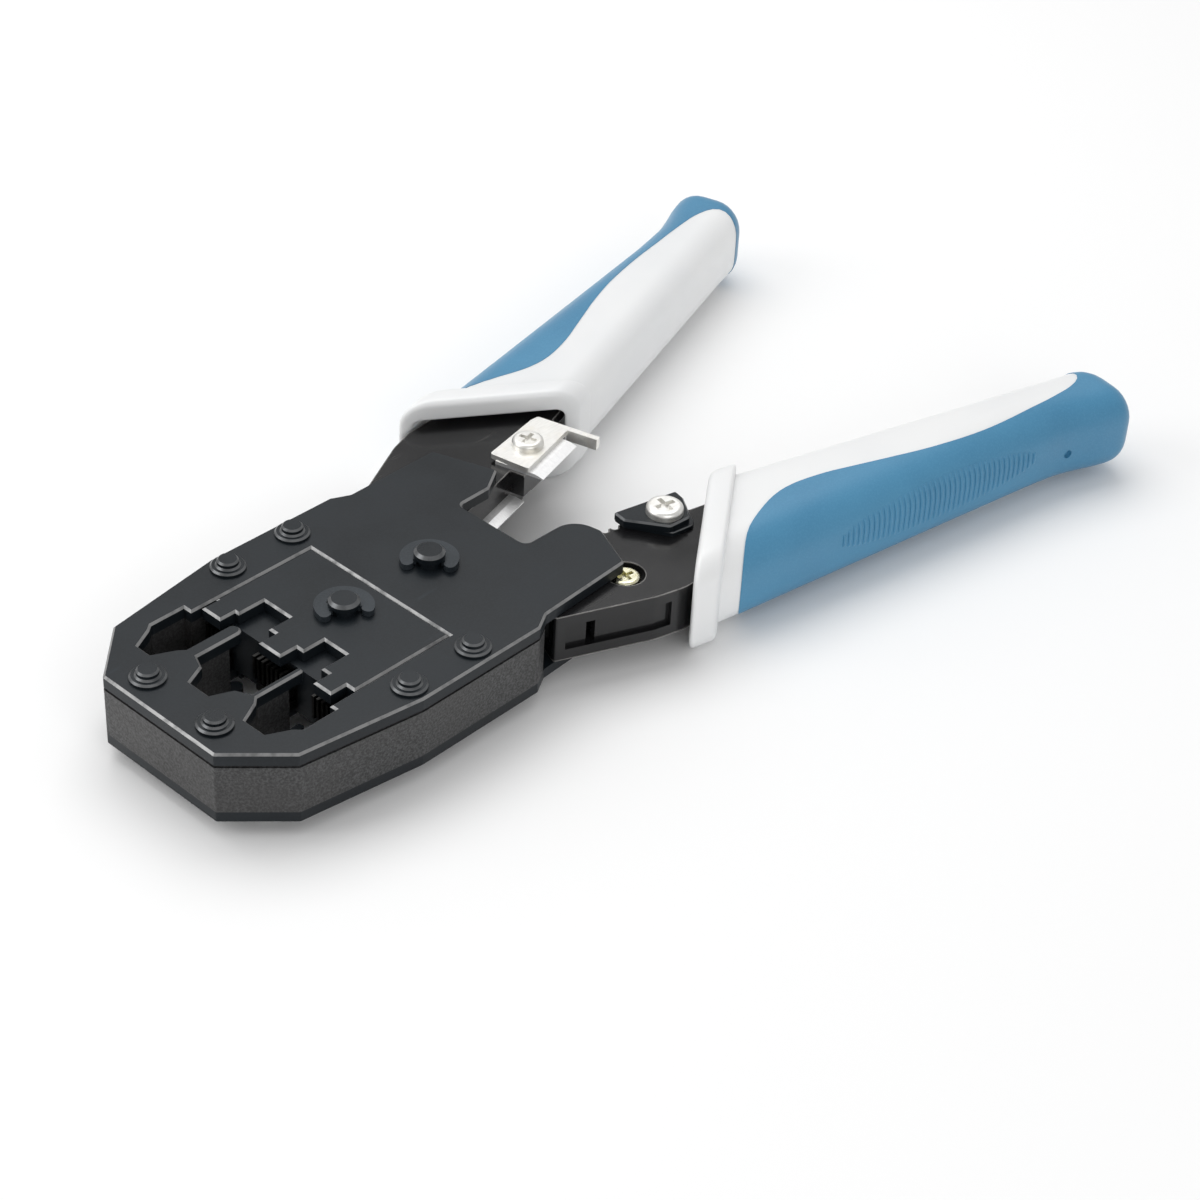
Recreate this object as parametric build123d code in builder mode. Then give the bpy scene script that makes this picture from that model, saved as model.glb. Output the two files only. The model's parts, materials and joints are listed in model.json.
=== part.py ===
from build123d import *

import os
from math import cos, radians, sin

os.makedirs("parts", exist_ok=True)

# Hand crimping tool for modular plugs, lying flat with its handles open.
# Origin: axis of the main pivot pin, on the plane that the tool lies on.
# +X runs towards the handles, +Y towards the fixed handle, +Z up. Millimetres and degrees.

# ---------------------------------------------------------------- head, heights
MID_Z = 9.0  # mid-plane of the whole tool
CORE_T = 8.8  # gap between the two side plates
PLATE_T = 2.1
TOP_PLATE_Z = MID_Z + CORE_T / 2
BOTTOM_PLATE_Z = MID_Z - CORE_T / 2 - PLATE_T
PLATE_TOP = TOP_PLATE_Z + PLATE_T
CORE_BOTTOM = MID_Z - CORE_T / 2
EDGE_BREAK = 0.35  # bright bevel along the stamped edges
GROOVE_H = 0.45  # shadow groove between the frame and the top plate
GROOVE_DEPTH = 0.35

# ---------------------------------------------------------------- head, plan
NOSE_X = -54.8
RAIL_INNER = 15.6  # half width of the die's channel
UPPER_RAIL_END = -15.0
LOWER_RAIL_END = 3.2
CHANNEL_X = -35.5
# corners as x, y, radius
PLATE_CORNERS = (
    (NOSE_X, 12.4, 0.5),
    (-46.0, 20.8, 0.5),
    (-24.35, 23.9, 0.5),
    (0.5, 23.7, 0.8),
    (3.7, 22.2, 0.8),
    (22.3, 22.3, 1.2),
    (26.2, 11.0, 0.8),
    (21.4, 8.1, 0.8),
    (14.5, 8.0, 1.0),
    (14.5, -6.9, 1.2),
    (25.2, -7.0, 4.6),
    (26.2, -12.6, 1.5),
    (22.5, -20.9, 0.8),
    (3.7, -21.9, 0.8),
    (0.5, -23.7, 0.8),
    (-24.35, -23.9, 0.5),
    (-46.0, -20.8, 0.5),
    (NOSE_X, -12.4, 0.5),
)
ARM_RIVET = (-10.5, 20.25)  # this one passes through the fixed arm instead of the frame
RIVET_PLACES = ((-50.3, 7.5), (-23.8, 20.3), ARM_RIVET)
RIVET_POINTS = [(x, sign * y) for x, y in RIVET_PLACES for sign in (1, -1)]
RIVET_R = 1.5
RIVET_FLANGE_R = 2.85
RIVET_FLANGE_T = 0.7
RIVET_BUTTON_R = 1.75
RIVET_HEAD_T = 1.8
RIVET_CHAMFER = 0.3

# ---------------------------------------------------------------- plug windows and die tongues
NOSE_WALL_X = -46.4  # where the latch recess of each window ends
LATCH_STEP_X = -42.8
SHOULDER_X = -41.7
DIE_HALF = 15.45
DIE_GAP = 0.1
DIE_BACK_X = -10.85
DIE_NOTCH_X = -25.3
CUTOUT_FRONT_X = -35.3
FINGER_END_X = -32.4
PITCH = 1.02  # contact spacing of a modular plug
# centre y, width, half width at the latch step, half width at the nose wall, contacts,
# then the die tongue: front x, its y limits, step x, its y limits behind the step
WINDOWS = {
    "4p": (13.15, 8.1, 3.2, 1.4, 4, -33.4, (11.05, 15.25), -30.4, (10.2, DIE_HALF)),
    "8p": (0.5, 12.2, 3.7, 2.1, 8, -32.8, (-1.9, 2.9), -29.5, (-3.4, 4.4)),
    "6p": (-11.75, 9.9, 3.9, 2.1, 6, -33.4, (-13.65, -9.85), -30.3, (-DIE_HALF, -8.2)),
}
CORE_FRONT_X = -31.0
CORE_BACK_X = -25.2
CORE_CLEAR = 0.05
INSERT_BACK_X = -27.0
INSERT_HALF_Z = 3.8
TOOTH_FRONT_X = -33.0
TOOTH_T = 0.5
SPIGOT_X = -27.2
SPIGOT_R = 1.1
SPIGOT_H = 1.0

# ---------------------------------------------------------------- pins and clips
PIN_R = 2.5
RUNNING_GAP = 0.05
MAIN_PIN_HALF = MID_Z  # the main pin's lower end touches the resting plane
DIE_PIN_HALF = MID_Z - 0.2
DIE_PIN_X = -18.1
PIN_CHAMFER = 0.5
CLIP_R = 4.7
CLIP_INNER_R = 2.75
CLIP_T = 1.0
CLIP_LIFT = 0.05
CLIP_MOUTH_HALF = 50.0  # half the mouth's opening angle
CLIP_TIP_R = 0.85
PRONG_W = 1.9
GROOVE_R = 1.95
GROOVE_W = 1.15

# ---------------------------------------------------------------- motion
HANDLE_TRAVEL = 28.0
DIE_TRAVEL = 4.2
LEAD = DIE_TRAVEL / radians(HANDLE_TRAVEL)  # the cam slot's spiral, mm per radian
SLOT_R = PIN_R + 0.06
CAM_WALL_R = 4.75
HUB_R = 7.4
LEVER_HALF = 2.2

# ---------------------------------------------------------------- arms, in handle coordinates
# A handle's own plane has x along the handle from the main pivot and y outwards.
FIXED = (15.1, 1)
MOVING = (15.1 - HANDLE_TRAVEL, -1)
ARM_HALF = 4.25
WEB_HALF = 2.25
ARM_TOP = MID_Z + ARM_HALF
ARM_BOTTOM = MID_Z - ARM_HALF
TANG_END = 122.0
OUTER_CORNERS = (
    (TANG_END, 9.2, 1.5),
    (TANG_END, 15.6, 1.5),
    (48.0, 20.2, 5.0),
    (33.0, 23.4, 7.0),
    (27.6, 23.2, 7.0),
    (10.6, 19.9, 0.6),
)
PANEL_DEPTH = 0.8
PANEL_HALF = 2.3
PANEL_SPAN = (12.5, 30.5)
VENT_X = 17.1
VENT_W = 1.5
EAR_CLEAR_R = 13.2  # room for the lever's hub and web between the fixed arm's ears
BOSS_SPAN = (31.8, 46.0)
RIB_SPAN = (16.5, 32.0)  # rib over the cutter blade
FIXED_EDGE = 3.3  # distance of each arm's straight inner edge from the handle's own x axis
MOVING_EDGE = 4.2
BOSS_EDGE = 0.6
BOSS_BACK = 9.0

# ---------------------------------------------------------------- blades and brackets
BLADE_T = 0.65
GRIND_T = 0.45  # depth and width of the ground bevel on a blade's edge
GRIND_W = 1.6
BRACKET_T = 0.9
BRACKET_END = 46.6
STOP_T = 1.1
STOP_DROP = 2.1
STOP_REACH = -5.6
STOP_SLOT_X = 45.2  # the closed handle leaves the stop free beyond this, in moving handle coordinates
BRACKET_SCREW = (38.2, 3.6)
ANVIL_SCREW = (40.1, 7.2)
CLAMP_SCREW = (26.7, 15.7)
CUTTER_SCREW = (24.0, 6.6)
CUTTER_Z = 8.0
CUTTER_SPAN = ((16.0, 31.6), (0.4, 9.0))  # along the handle, and out from the throat
STRIPPER_SPAN = ((32.2, 43.9), (-2.7, 6.4))
ANVIL_T = 1.3
ANVIL_BEVEL = 0.3
COUNTER_T = 0.8

# ---------------------------------------------------------------- grips, in handle coordinates
GRIP_HALF = 7.6
GRIP_EDGE_R = 4.5
GRIP_END = 132.4
COLLAR_FRONT = ((32.4, 25.8), (52.9, 2.0))  # slanted front plane, outer and inner corner
COLLAR_T = 5.6
COLLAR_HALF = MID_Z
COLLAR_EDGE_R = 4.0
TANG_GAP = 0.1
MOUTH_V = (3.7, 23.9)
MOUTH_HALF = 5.4
MOUTH_DEPTH = 3.0
MOUTH_CORNER_R = 1.2
SKIN_T = 1.6

# ---------------------------------------------------------------- return spring
SPRING_X = 10.1
SPRING_Y = (-7.4, 8.6)
SPRING_R = 1.6
WIRE_R = 0.4
SPRING_TURNS = 7

UP = (0, 0, 1)


def outline(corners):
    """Face with straight sides; each corner is x, y and its rounding radius."""
    with BuildSketch() as face:
        with BuildLine():
            FilletPolyline(*[(x, y) for x, y, _ in corners], radius=[r for *_, r in corners], close=True)
        make_face()
    return face.sketch


def handle_plane(side, z):
    """Plane at height z with x along the handle and y outwards."""
    angle, outward = side
    return Plane(origin=(0, 0, z), x_dir=(cos(radians(angle)), sin(radians(angle)), 0), z_dir=(0, 0, outward))


def rectangle(x_limits, y_limits):
    """Centre, width and height of the rectangle between two limits along each axis."""
    centre = (sum(x_limits) / 2, sum(y_limits) / 2)
    return centre, abs(x_limits[1] - x_limits[0]), abs(y_limits[1] - y_limits[0])


def cam_point(angle):
    """Centre of the die pin in the lever at rest, once the handle has turned by angle."""
    reach = -DIE_PIN_X + LEAD * radians(angle)
    return (-reach * cos(radians(angle)), reach * sin(radians(angle)))


# ================================================================ shared outlines

plate_outline = outline(PLATE_CORNERS)

with BuildSketch() as window_sketch:
    for centre, width, latch_half, nose_half, *_ in WINDOWS.values():
        with BuildLine():
            Polyline(
                (CUTOUT_FRONT_X, centre + width / 2),
                (SHOULDER_X, centre + width / 2),
                (LATCH_STEP_X, centre + latch_half),
                (NOSE_WALL_X, centre + nose_half),
                (NOSE_WALL_X, centre - nose_half),
                (LATCH_STEP_X, centre - latch_half),
                (SHOULDER_X, centre - width / 2),
                (CUTOUT_FRONT_X, centre - width / 2),
                close=True,
            )
        make_face()

# the side plates are also cut away round the die, except for the two fingers between the windows
FINGERS = (
    (WINDOWS["8p"][0] + WINDOWS["8p"][1] / 2, WINDOWS["4p"][0] - WINDOWS["4p"][1] / 2),
    (WINDOWS["6p"][0] + WINDOWS["6p"][1] / 2, WINDOWS["8p"][0] - WINDOWS["8p"][1] / 2),
)
with BuildSketch() as cutout_sketch:
    add(window_sketch.sketch)
    cutout_half = DIE_HALF + DIE_GAP
    where, length, width = rectangle((CUTOUT_FRONT_X, DIE_BACK_X + RUNNING_GAP), (-cutout_half, cutout_half))
    with Locations(where):
        Rectangle(length, width)
    for low, high in FINGERS:
        finger_half = (high - low) / 2
        where, length, width = rectangle((CUTOUT_FRONT_X - 1.0, FINGER_END_X - finger_half), (low, high))
        with Locations(where):
            Rectangle(length, width, mode=Mode.SUBTRACT)
        with Locations((FINGER_END_X - finger_half, (low + high) / 2)):
            Circle(finger_half, mode=Mode.SUBTRACT)

with BuildSketch() as die_sketch:
    where, length, width = rectangle((DIE_NOTCH_X, DIE_BACK_X), (-DIE_HALF, DIE_HALF))
    with Locations(where):
        Rectangle(length, width)
    for *_, front_x, front_limits, step_x, back_limits in WINDOWS.values():
        for tongue_x, y_limits in ((front_x, front_limits), (step_x, back_limits)):
            where, length, width = rectangle((tongue_x, DIE_NOTCH_X), y_limits)
            with Locations(where):
                Rectangle(length, width)

# ================================================================ head plates, frame and rivets

with BuildPart() as top_plate:
    with BuildSketch(Plane.XY.offset(TOP_PLATE_Z)):
        add(plate_outline)
        add(cutout_sketch.sketch, mode=Mode.SUBTRACT)
        with Locations(*RIVET_POINTS):
            Circle(RIVET_R, mode=Mode.SUBTRACT)
        Circle(PIN_R, mode=Mode.SUBTRACT)
    extrude(amount=PLATE_T)
    outer_face = top_plate.faces().sort_by(Axis.Z)[-1]
    chamfer(outer_face.edges().filter_by(GeomType.CIRCLE, reverse=True), length=EDGE_BREAK)
top_plate.part.label = "top_plate"
export_step(top_plate.part, "parts/top_plate.step")

with BuildPart() as bottom_plate:
    add(top_plate.part)
    mirror(about=Plane.XY.offset(MID_Z), mode=Mode.REPLACE)
bottom_plate.part.label = "bottom_plate"
export_step(bottom_plate.part, "parts/bottom_plate.step")

with BuildPart() as head_frame:
    with BuildSketch(Plane.XY.offset(CORE_BOTTOM)):
        add(plate_outline)
        add(window_sketch.sketch, mode=Mode.SUBTRACT)
        where, length, width = rectangle((CHANNEL_X, 40.0), (-RAIL_INNER, RAIL_INNER))
        with Locations(where):
            Rectangle(length, width, mode=Mode.SUBTRACT)
        for x_limits, y_limits in (((UPPER_RAIL_END, 40.0), (0, 30.0)), ((LOWER_RAIL_END, 40.0), (-30.0, 0))):
            where, length, width = rectangle(x_limits, y_limits)
            with Locations(where):
                Rectangle(length, width, mode=Mode.SUBTRACT)
        with Locations(*[point for point in RIVET_POINTS if point != ARM_RIVET]):
            Circle(RIVET_R, mode=Mode.SUBTRACT)
    extrude(amount=CORE_T)
    with BuildSketch(Plane.XY.offset(TOP_PLATE_Z - GROOVE_H)):
        add(plate_outline)
        offset(plate_outline, amount=-GROOVE_DEPTH, mode=Mode.SUBTRACT)
    extrude(amount=GROOVE_H, mode=Mode.SUBTRACT)
head_frame.part.label = "head_frame"
export_step(head_frame.part, "parts/head_frame.step")

with BuildPart() as head_rivets:
    half_height = MID_Z - BOTTOM_PLATE_Z
    with Locations(*[(x, y, MID_Z) for x, y in RIVET_POINTS]):
        Cylinder(RIVET_R, 2 * half_height)
    for sign in (1, -1):
        flange_z = MID_Z + sign * (half_height + RIVET_FLANGE_T / 2)
        button_z = MID_Z + sign * (half_height + RIVET_HEAD_T / 2)
        with Locations(*[(x, y, flange_z) for x, y in RIVET_POINTS]):
            Cylinder(RIVET_FLANGE_R, RIVET_FLANGE_T)
        with Locations(*[(x, y, button_z) for x, y in RIVET_POINTS]):
            Cylinder(RIVET_BUTTON_R, RIVET_HEAD_T)
    rims = head_rivets.edges().filter_by(GeomType.CIRCLE).filter_by(lambda rim: rim.radius > RIVET_R)
    seat_height = half_height + 0.1
    chamfer(rims.filter_by(lambda rim: abs(rim.center().Z - MID_Z) > seat_height), length=RIVET_CHAMFER)
head_rivets.part.label = "head_rivets"
export_step(head_rivets.part, "parts/head_rivets.step")

# ================================================================ pins with their E-clips


def clip_profile(centre_x, mouth_angle):
    """E-clip: an open ring with three prongs that reach into the pin's groove."""
    with BuildSketch() as clip:
        Circle(CLIP_R)
        Circle(CLIP_INNER_R, mode=Mode.SUBTRACT)
        with BuildLine():
            reach = 2 * CLIP_R
            sides = [mouth_angle + CLIP_MOUTH_HALF, mouth_angle - CLIP_MOUTH_HALF]
            Polyline((0, 0), *[(reach * cos(radians(a)), reach * sin(radians(a))) for a in sides], close=True)
        make_face(mode=Mode.SUBTRACT)
        fillet(clip.vertices(), CLIP_TIP_R)
        for turn in (90, 180, 270):
            with PolarLocations((GROOVE_R + CLIP_INNER_R) / 2 + 0.2, 1, start_angle=mouth_angle + turn):
                Rectangle(CLIP_INNER_R - GROOVE_R + 0.3, PRONG_W)
        Circle(GROOVE_R, mode=Mode.SUBTRACT)
    return Pos(centre_x, 0) * clip.sketch


groove_middle = PLATE_TOP + CLIP_LIFT + CLIP_T / 2 - MID_Z
CLIP_LEVELS = (MID_Z + groove_middle, MID_Z - groove_middle)
for name, clip_name, centre_x, half_length, mouth_angle in (
    ("main_pivot_pin", "pivot_e_clips", 0.0, MAIN_PIN_HALF, 221),
    ("die_pin", "die_pin_e_clips", DIE_PIN_X, DIE_PIN_HALF, 239),
):
    with BuildPart() as pin:
        with Locations((centre_x, 0, MID_Z)):
            Cylinder(PIN_R, 2 * half_length)
        chamfer(pin.edges().filter_by(GeomType.CIRCLE), length=PIN_CHAMFER)
        for level in CLIP_LEVELS:
            with BuildSketch(Plane.XY.offset(level - GROOVE_W / 2)):
                with Locations((centre_x, 0)):
                    Circle(PIN_R)
                    Circle(GROOVE_R, mode=Mode.SUBTRACT)
            extrude(amount=GROOVE_W, mode=Mode.SUBTRACT)
    pin.part.label = name
    export_step(pin.part, f"parts/{name}.step")

    clip_sketch = clip_profile(centre_x, mouth_angle)
    with BuildPart() as clips:
        for level in CLIP_LEVELS:
            with BuildSketch(Plane.XY.offset(level - CLIP_T / 2)):
                add(clip_sketch)
            extrude(amount=CLIP_T)
    clips.part.label = clip_name
    export_step(clips.part, f"parts/{clip_name}.step")

# ================================================================ die: two plates, core and toothed inserts

SPIGOTS = [(SPIGOT_X, window[0]) for window in WINDOWS.values()]

with BuildPart() as die_top_plate:
    with BuildSketch(Plane.XY.offset(TOP_PLATE_Z)):
        add(die_sketch.sketch)
        with Locations((DIE_PIN_X, 0)):
            Circle(PIN_R, mode=Mode.SUBTRACT)
    extrude(amount=PLATE_T)
    outer_face = die_top_plate.faces().sort_by(Axis.Z)[-1]
    chamfer(outer_face.edges().filter_by(GeomType.CIRCLE, reverse=True), length=EDGE_BREAK)
    with BuildSketch(Plane.XY.offset(TOP_PLATE_Z)):
        with Locations(*SPIGOTS):
            Circle(SPIGOT_R)
    extrude(amount=SPIGOT_H, mode=Mode.SUBTRACT)
die_top_plate.part.label = "die_top_plate"
export_step(die_top_plate.part, "parts/die_top_plate.step")

with BuildPart() as die_bottom_plate:
    add(die_top_plate.part)
    mirror(about=Plane.XY.offset(MID_Z), mode=Mode.REPLACE)
die_bottom_plate.part.label = "die_bottom_plate"
export_step(die_bottom_plate.part, "parts/die_bottom_plate.step")

with BuildPart() as die_core:
    where, length, width = rectangle((CORE_FRONT_X, CORE_BACK_X), (-DIE_HALF, DIE_HALF))
    with Locations((*where, MID_Z)):
        Box(length, width, CORE_T - 2 * CORE_CLEAR)
    with Locations(*[(x, y, MID_Z) for x, y in SPIGOTS]):
        Cylinder(SPIGOT_R, CORE_T + 2 * SPIGOT_H)
    for centre, _, _, _, contacts, *_ in WINDOWS.values():
        half_width = contacts * PITCH / 2
        y_limits = (centre - half_width, centre + half_width)
        where, length, width = rectangle((CORE_FRONT_X, INSERT_BACK_X), y_limits)
        with Locations((*where, MID_Z)):
            Box(length, width, 2 * INSERT_HALF_Z, mode=Mode.SUBTRACT)
die_core.part.label = "die_core"
export_step(die_core.part, "parts/die_core.step")

# each insert is a block with one tooth per contact and, below them, the bar that grips the cable
TEETH_Z = (MID_Z - 1.0, MID_Z + 3.2)
BAR_Z = (MID_Z - 3.6, MID_Z - 2.0)
BAR_FRONT_X = -32.4
for name, (centre, _, _, _, contacts, *_) in WINDOWS.items():
    with BuildPart() as insert:
        half_width = contacts * PITCH / 2
        y_limits = (centre - half_width, centre + half_width)
        where, length, width = rectangle((CORE_FRONT_X, INSERT_BACK_X), y_limits)
        with Locations((*where, MID_Z)):
            Box(length, width, 2 * INSERT_HALF_Z)
        with Locations(((TOOTH_FRONT_X + CORE_FRONT_X) / 2, centre, sum(TEETH_Z) / 2)):
            with GridLocations(1.0, PITCH, 1, contacts):
                Box(CORE_FRONT_X - TOOTH_FRONT_X, TOOTH_T, TEETH_Z[1] - TEETH_Z[0])
        with Locations(((BAR_FRONT_X + CORE_FRONT_X) / 2, centre, sum(BAR_Z) / 2)):
            Box(CORE_FRONT_X - BAR_FRONT_X, width - 0.6, BAR_Z[1] - BAR_Z[0])
    insert.part.label = f"die_insert_{name}"
    export_step(insert.part, f"parts/die_insert_{name}.step")

# ================================================================ cam lever and arms

LEVER_TAIL = (
    (2.5, 6.2, 0.0),
    (8.8, 5.5, 0.5),
    (14.6, 5.5, 0.8),
    (14.6, -0.2, 0.8),
    (29.0, -0.2, 0.8),
    (30.5, 4.2, 1.0),
    (30.5, 18.6, 2.0),
    (13.0, 17.4, 2.0),
    (8.5, 14.0, 1.5),
    (-1.0, 7.0, 0.0),
)
with BuildPart() as cam_lever:
    slot_points = [cam_point(angle) for angle in (0, HANDLE_TRAVEL / 2, HANDLE_TRAVEL)]
    slot_arc = ThreePointArc(*slot_points, mode=Mode.PRIVATE)
    with BuildSketch(Plane.XY.offset(MID_Z - LEVER_HALF)):
        Circle(HUB_R)
        SlotArc(slot_arc, 2 * CAM_WALL_R)
        make_hull()
    extrude(amount=2 * LEVER_HALF)
    with BuildSketch(Plane.XY.offset(ARM_BOTTOM)):
        SlotArc(slot_arc, 2 * CAM_WALL_R)
    extrude(amount=2 * ARM_HALF)
    with BuildSketch(handle_plane(MOVING, MID_Z - LEVER_HALF)):
        add(outline(LEVER_TAIL))
    extrude(amount=2 * LEVER_HALF, dir=UP)
    with BuildSketch(Plane.XY.offset(ARM_BOTTOM)):
        SlotArc(slot_arc, 2 * SLOT_R)
        Circle(PIN_R + RUNNING_GAP)
    extrude(amount=2 * ARM_HALF, mode=Mode.SUBTRACT)
    with BuildSketch(handle_plane(MOVING, ARM_BOTTOM)):
        with Locations(CLAMP_SCREW):
            Circle(RIVET_R)
    extrude(amount=2 * ARM_HALF, dir=UP, mode=Mode.SUBTRACT)
cam_lever.part.label = "cam_lever"
export_step(cam_lever.part, "parts/cam_lever.step")

RECESS_R = 3.2
RECESS_DEPTH = 1.4
MOVING_INNER = (
    (12.8, 8.0, 2.0),
    (14.6, MOVING_EDGE, 1.5),
    (STOP_SLOT_X, MOVING_EDGE, 0.6),
    (STOP_SLOT_X, 6.4, 0.8),
    (49.4, 6.4, 0.8),
    (51.0, 4.9, 0.6),
)
FIXED_INNER = (
    (13.5, FIXED_EDGE, 1.0),
    (47.6, FIXED_EDGE, 0.6),
    (49.3, 4.8, 0.6),
)
TOOTH_NOTCHES = (28.6, 30.5, 32.4)
NOTCH_R = 0.75
FIXED_ROOT = (
    (-14.8, 16.6, 0.8),
    (-14.8, 23.4, 0.8),
    (0.4, 23.4, 0.6),
    (3.7, 21.9, 0.0),
    (9.0, 22.5, 0.0),
    (13.9, 8.0, 0.0),
    (11.0, 6.4, 1.0),
    (5.0, 3.0, 0.0),
    (-4.0, 5.0, 0.0),
    (-9.0, 16.6, 2.0),
)


def arm_outline(inner):
    """Plan of an arm: common outer side and tang, own inner side."""
    return outline((*inner, *OUTER_CORNERS))


def channel(side, inner, start, start_out):
    """Channel-shaped arm: two flanges joined by an outer wall with a sunk panel and a slot in it."""
    plan = arm_outline(inner)
    with BuildPart() as arm:
        with BuildSketch(handle_plane(side, ARM_BOTTOM)):
            add(plan)
        extrude(amount=2 * ARM_HALF, dir=UP)
        with BuildSketch(handle_plane(side, MID_Z - WEB_HALF)):
            with BuildLine():
                Polyline(
                    (start, -2.0),
                    (start, start_out),
                    (27.4, 21.2),
                    (33.0, 21.4),
                    (48.0, 18.2),
                    (TANG_END - 4.0, 13.8),
                    (TANG_END - 4.0, -2.0),
                    close=True,
                )
            make_face()
        extrude(amount=2 * WEB_HALF, dir=UP, mode=Mode.SUBTRACT)
        with BuildSketch(handle_plane(side, MID_Z - PANEL_HALF)):
            add(plan)
            offset(plan, amount=-PANEL_DEPTH, mode=Mode.SUBTRACT)
            where, length, width = rectangle(PANEL_SPAN, (16.0, 26.0))
            with Locations(where):
                Rectangle(length, width, mode=Mode.INTERSECT)
        extrude(amount=2 * PANEL_HALF, dir=UP, mode=Mode.SUBTRACT)
        with BuildSketch(handle_plane(side, MID_Z - PANEL_HALF)):
            with Locations((VENT_X, 21.0)):
                Rectangle(VENT_W, 6.0)
        extrude(amount=2 * PANEL_HALF, dir=UP, mode=Mode.SUBTRACT)
    return arm.part


moving_channel = channel(MOVING, MOVING_INNER, 8.0, 17.2)
with BuildPart() as moving_arm:
    add(moving_channel)
    with BuildSketch(handle_plane(MOVING, ARM_BOTTOM)):
        with Locations(*[(x, MOVING_EDGE) for x in TOOTH_NOTCHES]):
            Circle(NOTCH_R)
        with Locations(CLAMP_SCREW):
            Circle(RIVET_R)
        with Locations(ANVIL_SCREW):
            Circle(RIVET_R)
    extrude(amount=2 * ARM_HALF, dir=UP, mode=Mode.SUBTRACT)
    with BuildSketch(handle_plane(MOVING, ARM_TOP - RECESS_DEPTH)):
        with Locations(CLAMP_SCREW):
            Circle(RECESS_R)
    extrude(amount=RECESS_DEPTH, dir=UP, mode=Mode.SUBTRACT)
moving_arm.part.label = "moving_arm"
export_step(moving_arm.part, "parts/moving_arm.step")

ACCESS_R = 3.0
SCREW_DEPTH = 3.0
SEAT_HALF = 2.3
fixed_channel = channel(FIXED, FIXED_INNER, 15.5, 18.6)
with BuildPart() as fixed_arm:
    add(fixed_channel)
    with BuildSketch(Plane.XY.offset(ARM_BOTTOM)):
        add(outline(FIXED_ROOT))
        Circle(HUB_R)
    extrude(amount=2 * ARM_HALF)
    # bracket boss, full height at the back and only the upper half in front
    for z, height, edge in ((ARM_BOTTOM, 2 * ARM_HALF, FIXED_EDGE), (MID_Z, ARM_HALF, BOSS_EDGE)):
        with BuildSketch(handle_plane(FIXED, z)):
            where, length, width = rectangle(BOSS_SPAN, (edge, BOSS_BACK))
            with Locations(where):
                Rectangle(length, width)
        extrude(amount=height, dir=UP)
    # rib over the cutter blade
    with BuildSketch(handle_plane(FIXED, CUTTER_Z + BLADE_T)):
        where, length, width = rectangle(RIB_SPAN, (FIXED_EDGE, BOSS_BACK + 1.0))
        with Locations(where):
            Rectangle(length, width)
    extrude(amount=ARM_TOP - CUTTER_Z - BLADE_T, dir=UP)
    # room for the lever between the ears, and the spring's seat
    with BuildSketch(Plane.XY.offset(MID_Z - WEB_HALF)):
        Circle(EAR_CLEAR_R)
        where, length, width = rectangle((SPRING_X - SEAT_HALF, SPRING_X + SEAT_HALF), (0, SPRING_Y[1]))
        with Locations(where):
            Rectangle(length, width)
    extrude(amount=2 * WEB_HALF, mode=Mode.SUBTRACT)
    with BuildSketch(Plane.XY.offset(ARM_BOTTOM)):
        Circle(PIN_R)
        with Locations(ARM_RIVET):
            Circle(RIVET_R)
    extrude(amount=2 * ARM_HALF, mode=Mode.SUBTRACT)
    with BuildSketch(handle_plane(FIXED, ARM_BOTTOM)):
        with Locations(BRACKET_SCREW):
            Circle(RIVET_R)
    extrude(amount=2 * ARM_HALF, dir=UP, mode=Mode.SUBTRACT)
    with BuildSketch(handle_plane(FIXED, CUTTER_Z)):
        with Locations(CUTTER_SCREW):
            Circle(RIVET_R)
    extrude(amount=SCREW_DEPTH, dir=UP, mode=Mode.SUBTRACT)
    with BuildSketch(handle_plane(FIXED, ARM_BOTTOM)):
        with Locations(CUTTER_SCREW):
            Circle(ACCESS_R)
    extrude(amount=ARM_HALF - WEB_HALF, dir=UP, mode=Mode.SUBTRACT)
fixed_arm.part.label = "fixed_arm"
export_step(fixed_arm.part, "parts/fixed_arm.step")

# ================================================================ blades, brackets and screws


def blade_edge(blade, top_z):
    """The top edge of a fixed blade nearest to the throat."""
    level = blade.edges().filter_by(lambda edge: abs(edge.center().Z - top_z) < 0.01)
    return level.sort_by(lambda edge: handle_plane(FIXED, 0).to_local_coords(edge.center()).Y)[0]


with BuildPart() as cutter_blade:
    with BuildSketch(handle_plane(FIXED, CUTTER_Z)):
        where, length, width = rectangle(*CUTTER_SPAN)
        with Locations(where):
            Rectangle(length, width)
        with Locations(CUTTER_SCREW):
            Circle(RIVET_R, mode=Mode.SUBTRACT)
    extrude(amount=BLADE_T, dir=UP)
    chamfer(blade_edge(cutter_blade, CUTTER_Z + BLADE_T), length=GRIND_T, length2=GRIND_W)
cutter_blade.part.label = "cutter_blade"
export_step(cutter_blade.part, "parts/cutter_blade.step")

with BuildPart() as stripping_blade:
    with BuildSketch(handle_plane(FIXED, ARM_TOP)):
        where, length, width = rectangle(*STRIPPER_SPAN)
        with Locations(where):
            Rectangle(length, width)
        with Locations(BRACKET_SCREW):
            Circle(RIVET_R, mode=Mode.SUBTRACT)
    extrude(amount=BLADE_T, dir=UP)
    chamfer(blade_edge(stripping_blade, ARM_TOP + BLADE_T), length=GRIND_T, length2=GRIND_W)
stripping_blade.part.label = "stripping_blade"
export_step(stripping_blade.part, "parts/stripping_blade.step")

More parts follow.
